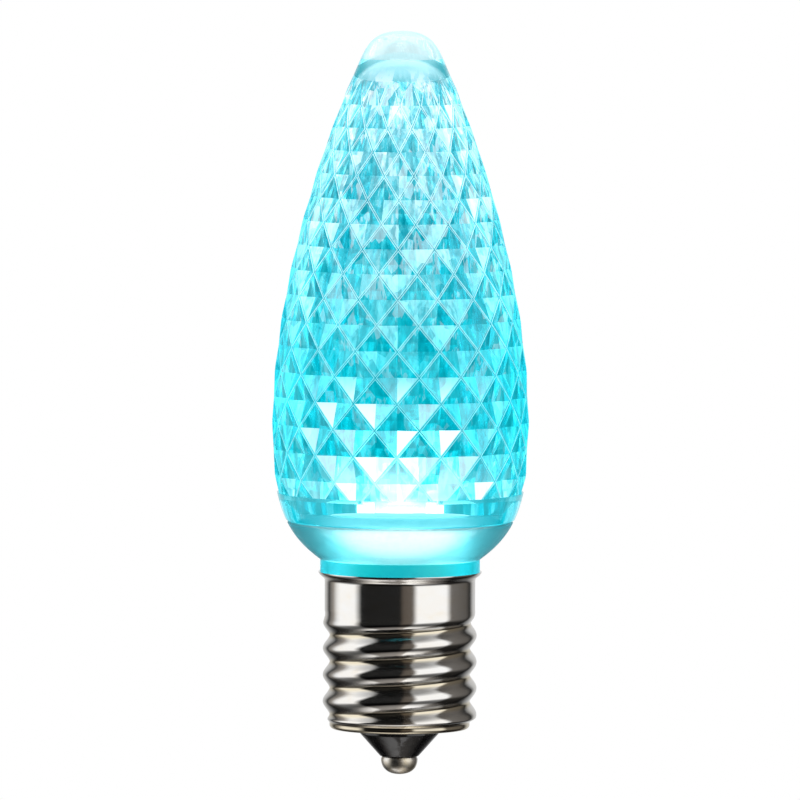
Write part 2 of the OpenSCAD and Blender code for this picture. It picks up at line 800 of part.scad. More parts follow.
// Wire from the contact's bore, bent forward and up the driver board's front
module live_lead() {
    bore_floor = contact_h + stem_h - stem_bore_depth;
    bend_z = driver_foot - live_bend_drop;
    face_y = front - live_d / 2;
    color(tin_colour)
        wire([
            [0, 0, bore_floor],
            [0, 0, bend_z - live_bend_h],
            [0, face_y, bend_z],
            [0, face_y, driver_foot + live_lap]
        ], live_d);
}

// Wire from the driver board's back out under the plug and up its groove,
// where the plug traps it against the cap
module shell_lead() {
    end_y = sqrt(pow(shell_wire_r, 2) - pow(shell_wire_x, 2));
    color(tin_colour)
        wire([
            [shell_wire_x, back, shell_wire_z],
            [shell_wire_x, end_y, shell_wire_z],
            [shell_wire_x, end_y, plug_bottom + shell_wire_rise]
        ], wire_d);
}

faceted_lens();
lower_cup();
screw_shell();
base_insulator();
centre_contact();
led_board();
led_post();
side_led(0);  // led_1
side_led(90);  // led_2
side_led(180);  // led_3
side_led(270);  // led_4
top_led();  // led_5
driver_board();
link_pin(-1);  // link_pin_left
link_pin(1);  // link_pin_right
bridge_rectifier();
current_regulator();
chip_resistor(-1);  // chip_resistor_left
chip_resistor(1);  // chip_resistor_right
smoothing_capacitor();
fusible_resistor();
live_lead();
shell_lead();
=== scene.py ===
"""Looks of the faceted LED bulb: its meshes, finishes, light and camera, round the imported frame.

Sizes of the bulb are in millimetres, as in the CAD, and become metres where a piece is made.
"""
import json
import math
import random

import bpy
from mathutils import Matrix, Quaternion, Vector


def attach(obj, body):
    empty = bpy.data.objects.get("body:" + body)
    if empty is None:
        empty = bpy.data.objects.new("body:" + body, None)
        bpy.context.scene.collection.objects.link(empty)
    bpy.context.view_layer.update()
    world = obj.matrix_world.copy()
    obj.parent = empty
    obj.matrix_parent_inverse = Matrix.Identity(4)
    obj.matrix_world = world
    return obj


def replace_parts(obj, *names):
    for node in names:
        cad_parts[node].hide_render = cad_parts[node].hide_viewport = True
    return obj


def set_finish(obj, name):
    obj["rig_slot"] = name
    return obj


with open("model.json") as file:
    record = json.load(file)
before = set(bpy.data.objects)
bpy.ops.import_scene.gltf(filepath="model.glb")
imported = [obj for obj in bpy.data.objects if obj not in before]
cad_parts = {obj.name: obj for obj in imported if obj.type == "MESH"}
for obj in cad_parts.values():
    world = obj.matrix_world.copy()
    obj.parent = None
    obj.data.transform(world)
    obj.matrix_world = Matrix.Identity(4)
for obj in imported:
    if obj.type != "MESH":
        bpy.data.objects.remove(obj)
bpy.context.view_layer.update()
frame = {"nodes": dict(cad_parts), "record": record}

MM = 0.001
UP = Vector((0, 0, 1))

# Screw cap
CREST_R = 8.2
THREAD_DEPTH = 0.73
ROOT_R = CREST_R - THREAD_DEPTH
THREAD_PITCH = 2.822
FIRST_CREST_H = 6.4
CREST_FULLNESS = 0.75
SHEET = 0.3
CAP_BOTTOM = 4.9
CAP_CORNER_R = 0.4
THREAD_BOTTOM = 5.5
THREAD_GROW_H = 0.6
COLLAR_BOTTOM = 17.7
RUN_OUT_H = 2.0
COLLAR_R = 8.02
LIP_BOTTOM = 21.05
LIP_TOP = 21.7
LIP_R = 8.69

# Insulator and contact
CONTACT_R = 1.95
CONTACT_H = 1.95
STEM_R = 0.9
CONE_SMALL_R = 2.05
CONE_LARGE_R = 4.2
CONE_H = 2.4
FLANGE_R = 6.5
FLANGE_H = 1.2
SLIDE_GAP = 0.05

# Bulb's outline
NECK_R = 8.5
NECK_TOP = 23.0
FLARE_SLOPE = math.radians(36)
FLARE_REACH = 4.25
BELLY_R = 13.75
BELLY = 37.4
BELLY_REACH_DOWN = 9
BELLY_REACH_UP = 15
SHOULDER_R = 5.5
SHOULDER = 73.8
SHOULDER_SLOPE = math.radians(25)
SHOULDER_REACH_DOWN = 5.5
SHOULDER_REACH_UP = 3.75
TIP = 79.3
TIP_REACH = 3.75

# Cup and lens
SEAM = 27.1
SEAM_EDGE = 0.15
SEAT = 28.0
PLUG_R = 7.67
PLUG_BOTTOM = 18.4
PLUG_CHAMFER = 0.3
TUBE_BORE_R = 6.45
RIB_REACH = 1.05
RIB_WALL = 0.7
BOARD_T = 1.0
WIRE_D = 0.5
WIRE_R = 7.445
WIRE_X = 4.15
WIRE_RISE = 2.0
CUP_WALL = 1.8
SPIGOT_H = 1.5
SPIGOT_WALL = 0.7
LENS_WALL = 1.8
ROOF_WALL = 3.0
FACET_BOTTOM = 30.15

# Diamond facets
DIAMONDS = 18
COLUMNS = 2 * DIAMONDS
COLUMN_ANGLE = 2 * math.pi / COLUMNS
FACET_TILT = math.radians(24)
PATTERN_TURN = math.radians(-91.6)
FIRST_ROW_H = 1.8
ROW_STEP = 2.85
ROW_STEP_LESS = 0.02
FACET_SEED = 17

# LEDs on their post
LED_BASE = 29.2
LED_W = 2.8
LED_L = 3.5
LED_H = 1.9
LED_LOW = 29.7
POST_W = 5.4
POST_TOP = 33.6
WINDOW_R = 1.15

# Steps round a smooth turned piece, and lengths that only the meshes have
TURN_STEPS = 144
CURVE_STEPS = 28
MERGE = 1e-7


def bezier(a, b, c, d, steps=CURVE_STEPS):
    """Points along one cubic curve, as (radius, height)."""
    points = []
    for i in range(steps + 1):
        t = i / steps
        weights = ((1 - t) ** 3, 3 * t * (1 - t) ** 2, 3 * t * t * (1 - t), t ** 3)
        points.append(tuple(sum(w * p[k] for w, p in zip(weights, (a, b, c, d))) for k in (0, 1)))
    return points


cup_curve = bezier(
    (NECK_R, NECK_TOP),
    (NECK_R + FLARE_REACH * math.cos(FLARE_SLOPE), NECK_TOP + FLARE_REACH * math.sin(FLARE_SLOPE)),
    (BELLY_R, BELLY - BELLY_REACH_DOWN),
    (BELLY_R, BELLY))
body_curve = bezier(
    (BELLY_R, BELLY),
    (BELLY_R, BELLY + BELLY_REACH_UP),
    (SHOULDER_R + SHOULDER_REACH_DOWN * math.sin(SHOULDER_SLOPE),
     SHOULDER - SHOULDER_REACH_DOWN * math.cos(SHOULDER_SLOPE)),
    (SHOULDER_R, SHOULDER),
    2 * CURVE_STEPS)
dome_curve = bezier(
    (SHOULDER_R, SHOULDER),
    (SHOULDER_R - SHOULDER_REACH_UP * math.sin(SHOULDER_SLOPE),
     SHOULDER + SHOULDER_REACH_UP * math.cos(SHOULDER_SLOPE)),
    (TIP_REACH, TIP),
    (0, TIP))
side_outline = cup_curve + body_curve[1:]


def between(value, low, high):
    return (value - low) / (high - low)


def side_radius(height):
    """Radius of the bulb's outline at a height."""
    for (r1, z1), (r2, z2) in zip(side_outline, side_outline[1:]):
        if height <= z2:
            return r1 + (r2 - r1) * between(height, z1, z2)
    return side_outline[-1][0]


def outline_part(low, high, inset=0.0):
    """Points of the outline between two heights, ends included, moved inwards."""
    inner = [(r - inset, z) for r, z in side_outline if low < z < high]
    return [(side_radius(low) - inset, low)] + inner + [(side_radius(high) - inset, high)]


def height_at(length):
    """Height on the outline at a distance along it from the neck."""
    walked = 0.0
    for (r1, z1), (r2, z2) in zip(side_outline, side_outline[1:]):
        step = math.hypot(r2 - r1, z2 - z1)
        if walked + step >= length:
            return z1 + (z2 - z1) * (length - walked) / step
        walked += step
    return side_outline[-1][1]


def length_at(height):
    """Distance along the outline from the neck to a height."""
    points = [p for p in side_outline if p[1] < height] + [(side_radius(height), height)]
    return sum(math.dist(p, q) for p, q in zip(points, points[1:]))


def smooth_step(t):
    t = min(1.0, max(0.0, t))
    return t * t * (3 - 2 * t)


# Modelling helpers

def leave_nothing_selected():
    if bpy.context.mode != "OBJECT":
        bpy.ops.object.mode_set(mode="OBJECT")
    bpy.ops.object.select_all(action="DESELECT")


def only(piece):
    """Makes a piece the active and only selected object."""
    leave_nothing_selected()
    piece.select_set(True)
    bpy.context.view_layer.objects.active = piece


def pick(piece, kind, test):
    """Goes into edit mode on a piece with only the vertices, edges or faces that pass a test selected."""
    only(piece)
    bpy.ops.object.mode_set(mode="EDIT")
    bpy.ops.mesh.select_mode(type={"vertices": "VERT", "edges": "EDGE", "polygons": "FACE"}[kind])
    bpy.ops.mesh.select_all(action="DESELECT")
    bpy.ops.object.mode_set(mode="OBJECT")
    for item in getattr(piece.data, kind):
        item.select = test(item)
    bpy.ops.object.mode_set(mode="EDIT")


def name_piece(piece, name):
    piece.name = piece.data.name = name
    return piece


def turned(name, profile, steps=TURN_STEPS, closed=True):
    """A piece turned on the lathe: a profile of (radius, height) points spun round the axis."""
    leave_nothing_selected()
    bpy.ops.mesh.primitive_plane_add(size=MM, location=(0, 0, 0))
    piece = name_piece(bpy.context.object, name)
    bpy.ops.object.mode_set(mode="EDIT")
    bpy.ops.mesh.select_mode(type="VERT")
    bpy.ops.mesh.select_all(action="SELECT")
    bpy.ops.mesh.merge(type="CENTER")
    bpy.ops.transform.translate(value=(profile[0][0] * MM, 0, profile[0][1] * MM))
    path = profile + profile[:1] if closed else profile
    for (r1, z1), (r2, z2) in zip(path, path[1:]):
        move = ((r2 - r1) * MM, 0, (z2 - z1) * MM)
        bpy.ops.mesh.extrude_vertices_move(TRANSFORM_OT_translate={"value": move})
    bpy.ops.mesh.select_all(action="SELECT")
    bpy.ops.mesh.spin(steps=steps, angle=2 * math.pi, center=(0, 0, 0), axis=UP)
    bpy.ops.mesh.select_all(action="SELECT")
    bpy.ops.mesh.remove_doubles(threshold=MERGE)
    bpy.ops.mesh.dissolve_degenerate(threshold=MERGE)
    bpy.ops.mesh.select_all(action="SELECT")
    bpy.ops.mesh.normals_make_consistent(inside=False)
    leave_nothing_selected()
    return piece


def rounded(corners, steps=6):
    """A profile from (radius, height, corner radius) points, each corner turned with an arc."""
    points = []
    count = len(corners)
    for i, (r, z, size) in enumerate(corners):
        here = Vector((r, z))
        before = Vector(corners[i - 1][:2]) - here
        after = Vector(corners[(i + 1) % count][:2]) - here
        if not size:
            points.append((r, z))
            continue
        reach = size / math.tan(before.angle(after) / 2)
        start, end = here + before.normalized() * reach, here + after.normalized() * reach
        for k in range(steps + 1):
            t = k / steps
            points.append(tuple((1 - t) ** 2 * start + 2 * t * (1 - t) * here + t * t * end))
    return points


def cut_or_join(piece, other, operation):
    """Joins, cuts or intersects a piece with another, which is used up."""
    only(piece)
    bpy.ops.object.modifier_add(type="BOOLEAN")
    modifier = piece.modifiers[-1]
    modifier.operation = operation
    modifier.solver = "EXACT"
    modifier.object = other
    bpy.ops.object.modifier_apply(modifier=modifier.name)
    bpy.data.objects.remove(other)
    return piece


def smooth_by_angle(piece, degrees):
    only(piece)
    bpy.ops.object.shade_smooth_by_angle(angle=math.radians(degrees))
    leave_nothing_selected()


def block(name, size, centre, edge=0.0):
    """A rectangular block, with softened edges where a size is given for them."""
    leave_nothing_selected()
    bpy.ops.mesh.primitive_cube_add(size=MM)
    piece = name_piece(bpy.context.object, name)
    bpy.ops.object.mode_set(mode="EDIT")
    bpy.ops.mesh.select_all(action="SELECT")
    bpy.ops.transform.resize(value=size)
    bpy.ops.transform.translate(value=Vector(centre) * MM)
    if edge:
        bpy.ops.mesh.select_mode(type="EDGE")
        bpy.ops.mesh.bevel(offset=edge * MM, segments=2, affect="EDGES")
    leave_nothing_selected()
    return piece


# Pieces

CLEAR, LIT_FACET, RIDGE_LAND, THICK_DOME, HOLLOW_ROOF = range(5)


def looks_up(face):
    """Whether a facet leans up from the outline at its height, by its normal."""
    middle = face.center.z / MM
    slope = side_radius(middle + 0.5) - side_radius(middle - 0.5)
    outward = Vector((face.center.x, face.center.y, 0)).normalized()
    lean = face.normal.z * (1 if face.normal.dot(outward) > 0 else -1)
    return lean > -slope / math.hypot(1, slope) + 0.02


def faceted_lens():
    """The moulded lens: ridged diamonds between a smooth skirt and a smooth dome, hollow inside."""
    first_length = length_at(FACET_BOTTOM + FIRST_ROW_H)
    whole_length = length_at(SHOULDER)
    rows = []
    k = -1
    while True:
        length = first_length + k * ROW_STEP - ROW_STEP_LESS * k * (k - 1) / 2
        if length >= whole_length - ROW_STEP / 2:
            break
        rows.append(height_at(length))
        k += 1
    crown_rise = 1.2
    crown_stand = 0.25
    rings = [(z, side_radius(z)) for z in rows]
    rings.append((SHOULDER + crown_rise, SHOULDER_R - crown_rise * math.tan(SHOULDER_SLOPE) + crown_stand))

    leave_nothing_selected()
    bpy.ops.mesh.primitive_cylinder_add(
        vertices=COLUMNS, radius=MM, depth=MM * len(rings), end_fill_type="NGON",
        rotation=(0, 0, PATTERN_TURN))
    piece = name_piece(bpy.context.object, "lens_moulding")
    bpy.ops.object.transform_apply(location=False, rotation=True, scale=False)
    mesh = piece.data
    for surface in (finishes["lens_plastic"], lit_facets, ridge_lands, thick_dome, hollow_roof):
        mesh.materials.append(surface)
    pick(piece, "edges", lambda e: abs(mesh.vertices[e.vertices[0]].co.z
                                       - mesh.vertices[e.vertices[1]].co.z) > MM / 2)
    bpy.ops.mesh.subdivide(number_cuts=len(rings) - 2)
    leave_nothing_selected()

    low = min(v.co.z for v in mesh.vertices)
    high = max(v.co.z for v in mesh.vertices)
    step = (high - low) / (len(rings) - 1)

    def place(vertex):
        ring = round((vertex.co.z - low) / step)
        column = round((math.atan2(vertex.co.y, vertex.co.x) - PATTERN_TURN) / COLUMN_ANGLE) % COLUMNS
        return ring, column

    spots = {v.index: place(v) for v in mesh.vertices}
    crossings = {i for i, (ring, column) in spots.items() if (ring + column) % 2 == 0}
    for v in mesh.vertices:
        ring, column = spots[v.index]
        z, r = rings[ring]
        if v.index not in crossings and ring < len(rings) - 1:
            half_w, half_h = r * math.sin(COLUMN_ANGLE), ROW_STEP
            r -= math.tan(FACET_TILT) * half_w * half_h / math.hypot(half_w, half_h)
        angle = PATTERN_TURN + column * COLUMN_ANGLE
        v.co = Vector((r * math.cos(angle), r * math.sin(angle), z)) * MM

    pick(piece, "vertices", lambda v: v.index in crossings)
    bpy.ops.mesh.vert_connect()
    leave_nothing_selected()

    def is_ridge(edge):
        a, b = edge.vertices
        return a in crossings and b in crossings and abs(spots[a][0] - spots[b][0]) == 1

    ridge_land = 0.15
    land_edge = 0.09
    land_groove = 0.02
    pick(piece, "edges", is_ridge)
    bpy.ops.mesh.bevel(offset=ridge_land * MM, segments=1, affect="EDGES", clamp_overlap=True)
    leave_nothing_selected()
    # A random share per face of painted light and painted shade, read by the lens finishes.
    painted_share_layer = mesh.attributes.new("light_caught", "FLOAT", "FACE")
    chance = random.Random(FACET_SEED)
    # Faces that lean up get the lit facets' finish, which paints light on them.
    for face in mesh.polygons:
        face.material_index = RIDGE_LAND if face.select else LIT_FACET if looks_up(face) else CLEAR
        painted_share_layer.data[face.index].value = chance.random()
    pick(piece, "polygons", lambda face: face.material_index == RIDGE_LAND)
    bpy.ops.mesh.inset(thickness=land_edge * MM, depth=-land_groove * MM)
    leave_nothing_selected()
    for face in mesh.polygons:
        if face.select:
            face.material_index = CLEAR
    only(piece)
    bpy.ops.object.mode_set(mode="EDIT")
    bpy.ops.mesh.select_all(action="SELECT")
    lap = 0.25
    bpy.ops.mesh.bisect(plane_co=(0, 0, (FACET_BOTTOM - lap) * MM), plane_no=UP,
                        use_fill=True, clear_inner=True)
    bpy.ops.mesh.select_all(action="SELECT")
    bpy.ops.mesh.normals_make_consistent(inside=False)
    leave_nothing_selected()

    # The facets run out in round arches where they meet the smooth crown
    crown_low = rows[-1] + 0.4
    crown = turned("crown", [(0, FACET_BOTTOM - 2), (BELLY_R + 2, FACET_BOTTOM - 2),
                             (BELLY_R + 2, crown_low)]
                   + outline_part(crown_low, SHOULDER) + dome_curve[1:])
    cut_or_join(piece, crown, "INTERSECT")
    dome_lap = 0.5
    dome_inset = 0.02
    dome = turned("dome", [(0, SHOULDER + crown_rise - dome_lap)]
                  + [(r - dome_inset * (1 if z < SHOULDER + crown_rise else 0), z)
                     for r, z in dome_curve if z > SHOULDER + crown_rise - dome_lap])
    cut_or_join(piece, dome, "UNION")
    skirt = turned("skirt", [(0, SEAM), (side_radius(SEAM) - SEAM_EDGE, SEAM)]
                   + outline_part(SEAM + SEAM_EDGE, FACET_BOTTOM) + [(0, FACET_BOTTOM)])
    cut_or_join(piece, skirt, "UNION")

    bore_r = side_radius(SEAM) - CUP_WALL / 2 - SLIDE_GAP
    over = 1.0
    inner_side = [(r - LENS_WALL, z) for r, z in side_outline
                  if z > BELLY or z > SEAM and r - LENS_WALL > bore_r]
    end_r, end_z = inner_side[-1]
    roof = TIP - ROOF_WALL
    rise = roof - end_z
    hollow = turned("hollow", [(0, SEAM - over), (bore_r, SEAM - over), (bore_r, inner_side[0][1])]
                    + inner_side
                    + bezier((end_r, end_z),
                             (end_r - rise * math.tan(SHOULDER_SLOPE) / 2, end_z + rise / 2),
                             (end_r / 2, roof), (0, roof), CURVE_STEPS // 2)[1:])
    cut_or_join(piece, hollow, "DIFFERENCE")
    # The thick dome's and the hollow roof's faces get finishes with painted glow, and on the roof a painted deep
    # arch.
    for face in piece.data.polygons:
        if face.center.z > (roof + 0.1) * MM:
            face.material_index = THICK_DOME
        elif face.center.z > end_z * MM and math.hypot(face.center.x, face.center.y) < (end_r + 0.05) * MM:
            face.material_index = HOLLOW_ROOF
    smooth_by_angle(piece, 12)
    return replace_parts(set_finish(piece, "lens_plastic"), "faceted_lens")


def lower_cup():
    """The moulded cup: plug in the cap, neck, flared wall, locating ring and the tube under the board."""
    bore_r = side_radius(SEAM) - CUP_WALL / 2 - SLIDE_GAP
    spigot_r = bore_r - SLIDE_GAP
    wall_inside = [(r - CUP_WALL, z) for r, z in reversed(cup_curve)
                   if z < SEAM and PLUG_R < r - CUP_WALL < spigot_r - SPIGOT_WALL]
    groove_z = wall_inside[-1][1] - 0.2
    profile = [
        (TUBE_BORE_R, PLUG_BOTTOM), (PLUG_R - PLUG_CHAMFER, PLUG_BOTTOM),
        (PLUG_R, PLUG_BOTTOM + PLUG_CHAMFER), (PLUG_R, LIP_BOTTOM),
        (PLUG_R + LIP_R - COLLAR_R, LIP_TOP), (NECK_R, LIP_TOP)]
    profile += [p for p in cup_curve if p[1] < SEAM - SEAM_EDGE]
    profile += [
        (side_radius(SEAM) - SEAM_EDGE, SEAM), (spigot_r, SEAM), (spigot_r, SEAM + SPIGOT_H - 0.2),
        (spigot_r - 0.2, SEAM + SPIGOT_H), (spigot_r - SPIGOT_WALL, SEAM + SPIGOT_H),
        (spigot_r - SPIGOT_WALL, SEAM)]
    profile += wall_inside + [(PLUG_R, groove_z), (PLUG_R, SEAT), (TUBE_BORE_R, SEAT)]
    piece = turned("cup_moulding", profile)
    rib_size = (RIB_REACH + RIB_WALL / 2, RIB_WALL, SEAT - PLUG_BOTTOM)
    for x_side in (-1, 1):
        for y_side in (-1, 1):
            middle = (x_side * (TUBE_BORE_R + RIB_WALL / 2 - rib_size[0] / 2),
                      y_side * (BOARD_T + RIB_WALL + 2 * SLIDE_GAP) / 2, (SEAT + PLUG_BOTTOM) / 2)
            cut_or_join(piece, block("guide_rib", rib_size, middle), "UNION")
    groove_h = 2 * (WIRE_RISE + WIRE_D)
    groove = block("wire_groove", (WIRE_D + 4 * SLIDE_GAP, PLUG_R, groove_h),
                   (0, WIRE_R - WIRE_D / 2 - SLIDE_GAP + PLUG_R / 2, PLUG_BOTTOM))
    groove.data.transform(Matrix.Rotation(-math.asin(WIRE_X / WIRE_R), 4, "Z"))
    cut_or_join(piece, groove, "DIFFERENCE")
    smooth_by_angle(piece, 30)
    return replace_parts(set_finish(piece, "cup_plastic"), "lower_cup")


def thread_radius(height, angle):
    """Radius of the pressed thread at a height and an angle, in mm."""
    turns = (height - FIRST_CREST_H) / THREAD_PITCH - angle / (2 * math.pi)
    wave = max(0.0, 0.5 + 0.5 * math.cos(2 * math.pi * turns)) ** CREST_FULLNESS
    threaded = ROOT_R + THREAD_DEPTH * smooth_step((height - THREAD_BOTTOM) / THREAD_GROW_H) * wave
    run_out = smooth_step((height - COLLAR_BOTTOM + RUN_OUT_H) / RUN_OUT_H)
    return threaded + (COLLAR_R - threaded) * run_out


def screw_shell():
    """The pressed cap: holed floor, round corner, thread, plain collar and flared lip, in one sheet."""
    hole_r = CONE_LARGE_R + SLIDE_GAP
    profile = [(hole_r, CAP_BOTTOM), (ROOT_R - CAP_CORNER_R - 0.4, CAP_BOTTOM)]
    for i in range(9):
        turn = -math.pi / 2 + math.pi / 2 * i / 8
        profile.append((ROOT_R - CAP_CORNER_R + CAP_CORNER_R * math.cos(turn),
                        CAP_BOTTOM + CAP_CORNER_R + CAP_CORNER_R * math.sin(turn)))
    rows = 150
    for i in range(rows + 1):
        profile.append((ROOT_R, THREAD_BOTTOM + (COLLAR_BOTTOM - THREAD_BOTTOM) * i / rows))
    profile += [(COLLAR_R, COLLAR_BOTTOM + 0.2), (COLLAR_R, LIP_BOTTOM - 0.45)]
    profile += bezier((COLLAR_R, LIP_BOTTOM - 0.35), (COLLAR_R, LIP_BOTTOM + 0.05),
                      (LIP_R - 0.25, LIP_BOTTOM + 0.1), (LIP_R - 0.06, LIP_TOP - 0.22), 8)
    profile += [(LIP_R, LIP_TOP - 0.1), (LIP_R, LIP_TOP)]
    piece = turned("screw_cap", profile, steps=128, closed=False)
    for v in piece.data.vertices:
        height = v.co.z / MM
        if THREAD_BOTTOM - 1e-4 < height < COLLAR_BOTTOM + 1e-4:
            angle = math.atan2(v.co.y, v.co.x)
            r = thread_radius(height, angle) * MM
            v.co.x, v.co.y = r * math.cos(angle), r * math.sin(angle)
    only(piece)
    bpy.ops.object.modifier_add(type="SOLIDIFY")
    piece.modifiers[-1].thickness = SHEET * MM
    piece.modifiers[-1].offset = -1
    bpy.ops.object.modifier_apply(modifier=piece.modifiers[-1].name)
    smooth_by_angle(piece, 40)
    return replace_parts(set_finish(piece, "nickel_shell"), "screw_shell")


def base_insulator():
    """The moulded cone with its land in the cap's hole and its flange on the cap's floor."""
    hole_r = STEM_R + SLIDE_GAP
    floor = CAP_BOTTOM + SHEET
    profile = rounded([
        (hole_r, CONTACT_H, 0), (CONE_SMALL_R, CONTACT_H, 0.2),
        (CONE_LARGE_R, CONTACT_H + CONE_H, 0.25), (CONE_LARGE_R, floor, 0),
        (FLANGE_R, floor, 0.3), (FLANGE_R, floor + FLANGE_H, 0.2), (hole_r, floor + FLANGE_H, 0)])
    piece = turned("cap_insulator", profile)
    smooth_by_angle(piece, 30)
    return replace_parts(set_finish(piece, "black_insulator"), "base_insulator")


def centre_contact():
    """The contact button, domed below, with the stem that passes up through the insulator."""
    button = bezier((0, 0), (CONTACT_R * 2 / 3, 0), (CONTACT_R, CONTACT_H / 3),
                    (CONTACT_R, CONTACT_H - 0.3), 14)
    stem_top = CONTACT_H + 4.3
    bore_r, bore_depth = 0.42, 2.2
    profile = button + [
        (CONTACT_R - 0.08, CONTACT_H - 0.1), (CONTACT_R - 0.3, CONTACT_H), (STEM_R, CONTACT_H),
        (STEM_R, stem_top - 0.1), (STEM_R - 0.1, stem_top), (bore_r, stem_top),
        (bore_r, stem_top - bore_depth), (0, stem_top - bore_depth)]
    piece = turned("contact_button", profile, steps=96, closed=False)
    smooth_by_angle(piece, 30)
    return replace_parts(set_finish(piece, "nickel_contact"), "centre_contact")


def led_package():
    """One LED on its back at the origin: moulded package with a sunk round window that shines up."""
    piece = block("led_package", (LED_W, LED_L, LED_H), (0, 0, LED_H / 2), 0.12)
    window_floor = LED_H - 0.15
    cutter = turned("window", [(0, window_floor), (WINDOW_R - 0.1, window_floor),
                               (WINDOW_R, LED_H + 0.1), (0, LED_H + 0.1)], steps=40)
    cut_or_join(piece, cutter, "DIFFERENCE")
    piece.data.materials.append(finishes["led"])
    piece.data.materials.append(lit_window)
    for face in piece.data.polygons:
        if abs(face.center.z - window_floor * MM) < MERGE:
            face.material_index = 1
    return piece


def led_copies():
    """The package turned to the post's four sides and its top, each copy with its own mesh."""
    package = led_package()
    height = (LED_LOW + LED_L / 2) * MM
    places = [Matrix.Rotation(math.radians(turn), 4, "Z")
              @ Matrix.Translation((0, -POST_W / 2 * MM, height))
              @ Matrix.Rotation(math.radians(90), 4, "X") for turn in (0, 90, 180, 270)]
    places.append(Matrix.Translation((0, 0, POST_TOP * MM)))
    copies = []
    for number, place in enumerate(places, 1):
        only(package)
        bpy.ops.object.duplicate(linked=False)
        copy = name_piece(bpy.context.object, f"led_light_{number}")
        copy.data.transform(place)
        copies.append(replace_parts(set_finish(copy, "led"), f"led_{number}"))
    bpy.data.objects.remove(package)
    return copies


def light_post():
    """Square post with softened edges and a shallow panel let into each side."""
    height = POST_TOP - LED_BASE
    piece = block("light_post", (POST_W, POST_W, height), (0, 0, LED_BASE + height / 2), 0.1)
    pick(piece, "polygons", lambda face: face.area > 10 * MM * MM and abs(face.normal.z) < 0.5)
    bpy.ops.mesh.inset(thickness=0.35 * MM, depth=-0.06 * MM)
    leave_nothing_selected()
    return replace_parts(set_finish(piece, "white_board"), "led_post")


# Finishes

def add(tree, kind, inputs=(), **settings):
    """A node with its settings, and each input set or linked."""
    node = tree.nodes.new(kind)
    for name, value in settings.items():
        setattr(node, name, value)
    for name, value in dict(inputs).items():
        if isinstance(value, bpy.types.NodeSocket):
            tree.links.new(value, node.inputs[name])
        else:
            node.inputs[name].default_value = value
    return node


def ramp(tree, factor, stops):
    """A colour ramp with (position, colour) stops."""
    node = add(tree, "ShaderNodeValToRGB", {"Fac": factor})
    elements = node.color_ramp.elements
    elements[0].position, elements[1].position = stops[0][0], stops[-1][0]
    for position, colour in stops[1:-1]:
        elements.new(position)
    for element, (position, colour) in zip(elements, stops):
        element.color = (*colour, 1)
    return node.outputs["Color"]


def noise(tree, scale, detail=3.0, stretch=(1, 1, 1)):
    """Noise on the piece's own coordinates, a number of features to the metre."""
    place = add(tree, "ShaderNodeTexCoord").outputs["Object"]
    place = add(tree, "ShaderNodeMapping", {"Vector": place, "Scale": stretch}).outputs["Vector"]
    return add(tree, "ShaderNodeTexNoise",
               {"Vector": place, "Scale": scale, "Detail": detail}).outputs["Fac"]


def height_factor(tree, low, high):
    """0 at one height in mm and 1 at another."""
    place = add(tree, "ShaderNodeTexCoord").outputs["Object"]
    z = add(tree, "ShaderNodeSeparateXYZ", {"Vector": place}).outputs["Z"]
    return add(tree, "ShaderNodeMapRange", {"Value": z, "From Min": low * MM,
                                            "From Max": high * MM}).outputs["Result"]


def distance_from_axis(tree):
    place = add(tree, "ShaderNodeTexCoord").outputs["Object"]
    flat = add(tree, "ShaderNodeVectorMath", {0: place, 1: (1, 1, 0)}, operation="MULTIPLY")
    return add(tree, "ShaderNodeVectorMath", {0: flat.outputs[0]}, operation="LENGTH").outputs["Value"]


def spread(tree, value, low, high, to_low, to_high):
    return add(tree, "ShaderNodeMapRange", {"Value": value, "From Min": low, "From Max": high,
                                            "To Min": to_low, "To Max": to_high}).outputs["Result"]


def blend(tree, factor, first, second):
    """One colour or the other by a factor."""
    node = add(tree, "ShaderNodeMix", {0: factor, 6: first, 7: second}, data_type="RGBA")
    return node.outputs[2]


def multiplied(tree, first, second):
    return add(tree, "ShaderNodeMix", {0: 1.0, 6: first, 7: second},
               data_type="RGBA", blend_type="MULTIPLY").outputs[2]


def finish(name, build, **uniform):
    """A material: a Principled shader with its uniform sockets set, then the rest built by nodes."""
    material = bpy.data.materials.new(name)
    material.use_nodes = True
    tree = material.node_tree
    shader = tree.nodes["Principled BSDF"]
    for socket, value in uniform.items():
        shader.inputs[socket.replace("_", " ")].default_value = value
    for socket, value in build(tree).items():
        tree.links.new(value, shader.inputs[socket])
    return material


def bump(tree, height, distance, strength=1.0):
    return add(tree, "ShaderNodeBump", {"Height": height, "Distance": distance * MM,
                                        "Strength": strength}).outputs["Normal"]


def summed(tree, first, second):
    return add(tree, "ShaderNodeMix", {0: 1.0, 6: first, 7: second},
               data_type="RGBA", blend_type="ADD").outputs[2]


def facing(tree):
    """0 where a surface looks at the viewer and 1 where it is seen edge on."""
    return add(tree, "ShaderNodeLayerWeight", {"Blend": 0.5}).outputs["Facing"]


# Stops of painted shade by facing: deep for the lens body, pale for the dome.
DEEP_RIM = ((0.35, (1, 1, 1)), (0.6, (0.36, 0.86, 0.89)), (0.8, (0.3, 0.8, 0.84)), (0.92, (0.4, 0.7, 0.72)),
            (0.97, (0.3, 0.36, 0.37)))
PALE_RIM = ((0.6, (1, 1, 1)), (0.85, (0.7, 0.88, 0.9)), (0.96, (0.45, 0.5, 0.52)))


def rim(tree, colour, stops=DEEP_RIM):
    """Painted shade: a colour that deepens where a clear wall is seen at a slant, and greys where it is seen edge on.
    """
    return multiplied(tree, colour, ramp(tree, facing(tree), stops))


